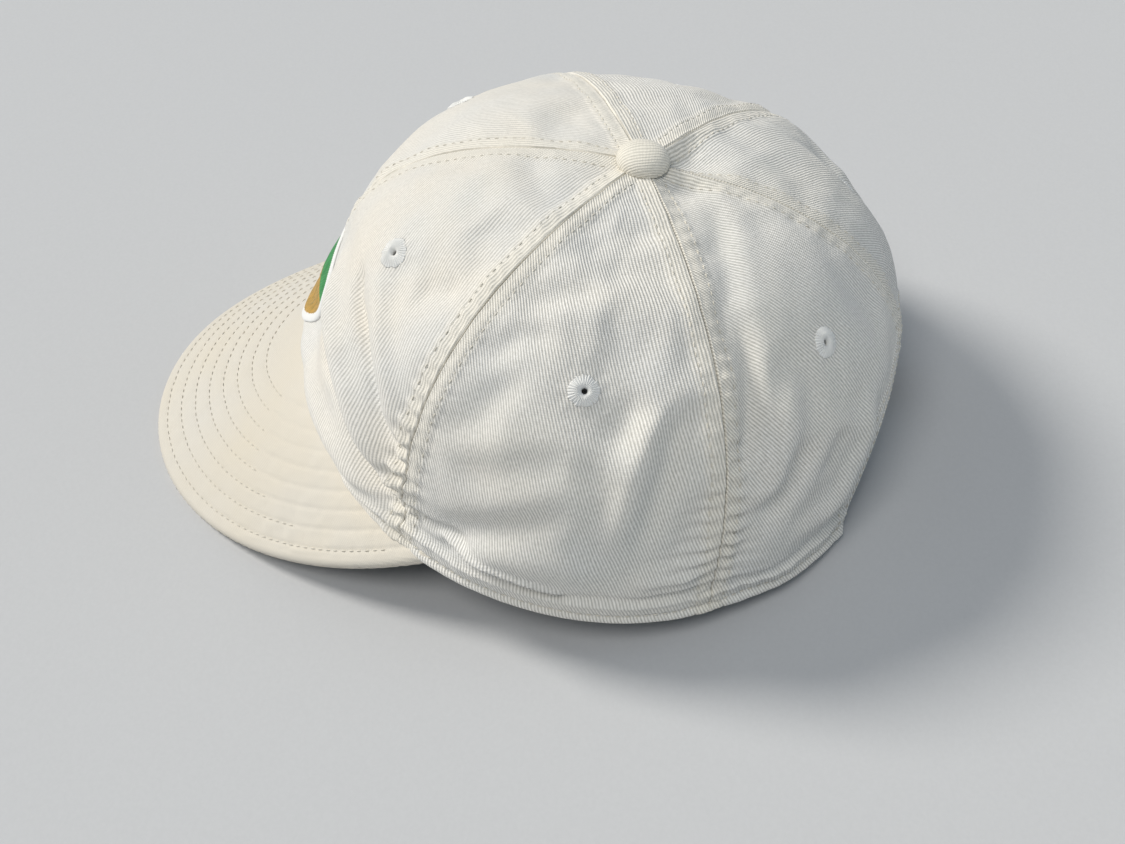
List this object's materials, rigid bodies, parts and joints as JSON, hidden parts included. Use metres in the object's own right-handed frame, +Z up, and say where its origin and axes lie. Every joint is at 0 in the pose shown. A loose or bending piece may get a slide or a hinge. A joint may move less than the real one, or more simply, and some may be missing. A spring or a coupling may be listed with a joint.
{
  "type": "baseball cap",
  "caption": "Soft off-white cotton cap with a panelled crown, curved stitched visor, covered top button, sewn eyelets and a fabric strap with a flip buckle at the back.",
  "frame": {"origin": "centre of the head opening, in the plane of the rim", "axes": "-Y points forwards over the visor, +X to the wearer's left, +Z up from the surface the cap stands on; the rim plane is tilted 10 degrees about X, front up, because the cap stands on its visor and the back of its rim"},
  "size_m": [0.188, 0.244, 0.1057],
  "materials": {
    "crown_cloth": "off-white cotton twill with fine diagonal wales, soft and matt",
    "visor_cloth": "cream cotton, fine weave, stitched in rows",
    "button_cloth": "cream cotton twill stretched over a dome",
    "tape_cloth": "plain cotton tape",
    "sweatband_cloth": "soft cotton, matt",
    "lining_cloth": "thin non-woven interlining",
    "eyelet_thread": "white satin stitch",
    "badge_white": "white satin stitch",
    "badge_green": "green embroidery thread",
    "badge_gold": "gold embroidery thread",
    "board_plastic": "stiff moulded sheet",
    "steel": "plain pressed steel",
    "brass": "antique brass, worn at its edges",
    "label_cloth": "plain white satin ribbon, blank"
  },
  "bodies": {
    "crown": {"front_left_panel": "crown_cloth", "front_right_panel": "crown_cloth", "side_left_panel": "crown_cloth", "side_right_panel": "crown_cloth", "back_left_panel": "crown_cloth", "back_right_panel": "crown_cloth", "visor_board": "board_plastic", "visor_top_cover": "visor_cloth", "visor_under_cover": "visor_cloth", "button_cover": "button_cloth", "button_shell": "steel", "button_rivet": "steel", "seam_tape_front": "tape_cloth", "seam_tape_front_left": "tape_cloth", "seam_tape_back_left": "tape_cloth", "seam_tape_back": "tape_cloth", "seam_tape_back_right": "tape_cloth", "seam_tape_front_right": "tape_cloth", "sweatband": "sweatband_cloth", "sweatband_lining": "lining_cloth", "opening_binding": "tape_cloth", "eyelet_front_left": "eyelet_thread", "eyelet_front_right": "eyelet_thread", "eyelet_side_left": "eyelet_thread", "eyelet_side_right": "eyelet_thread", "eyelet_back_left": "eyelet_thread", "eyelet_back_right": "eyelet_thread", "badge_border": "badge_white", "badge_upper_field": "badge_green", "badge_lower_field": "badge_gold", "buckle_loop": "crown_cloth", "buckle_frame": "brass", "buckle_pin": "brass", "care_label": "label_cloth"},
    "strap": {"closure_strap": "crown_cloth"},
    "lever": {"buckle_lever": "brass"}
  },
  "joints": [
    {"name": "strap_slide", "type": "hinge", "parent": "crown", "child": "strap", "pos_m": [0, -0.01434, 0.00253], "axis": [0, 0.1736, 0.9848], "range_deg": [0, 11.5]},
    {"name": "lever_flip", "type": "hinge", "parent": "crown", "child": "lever", "pos_m": [-0.02985, 0.08226, -0.00232], "axis": [0, 0.1736, 0.9848], "range_deg": [0, 100]}
  ]
}
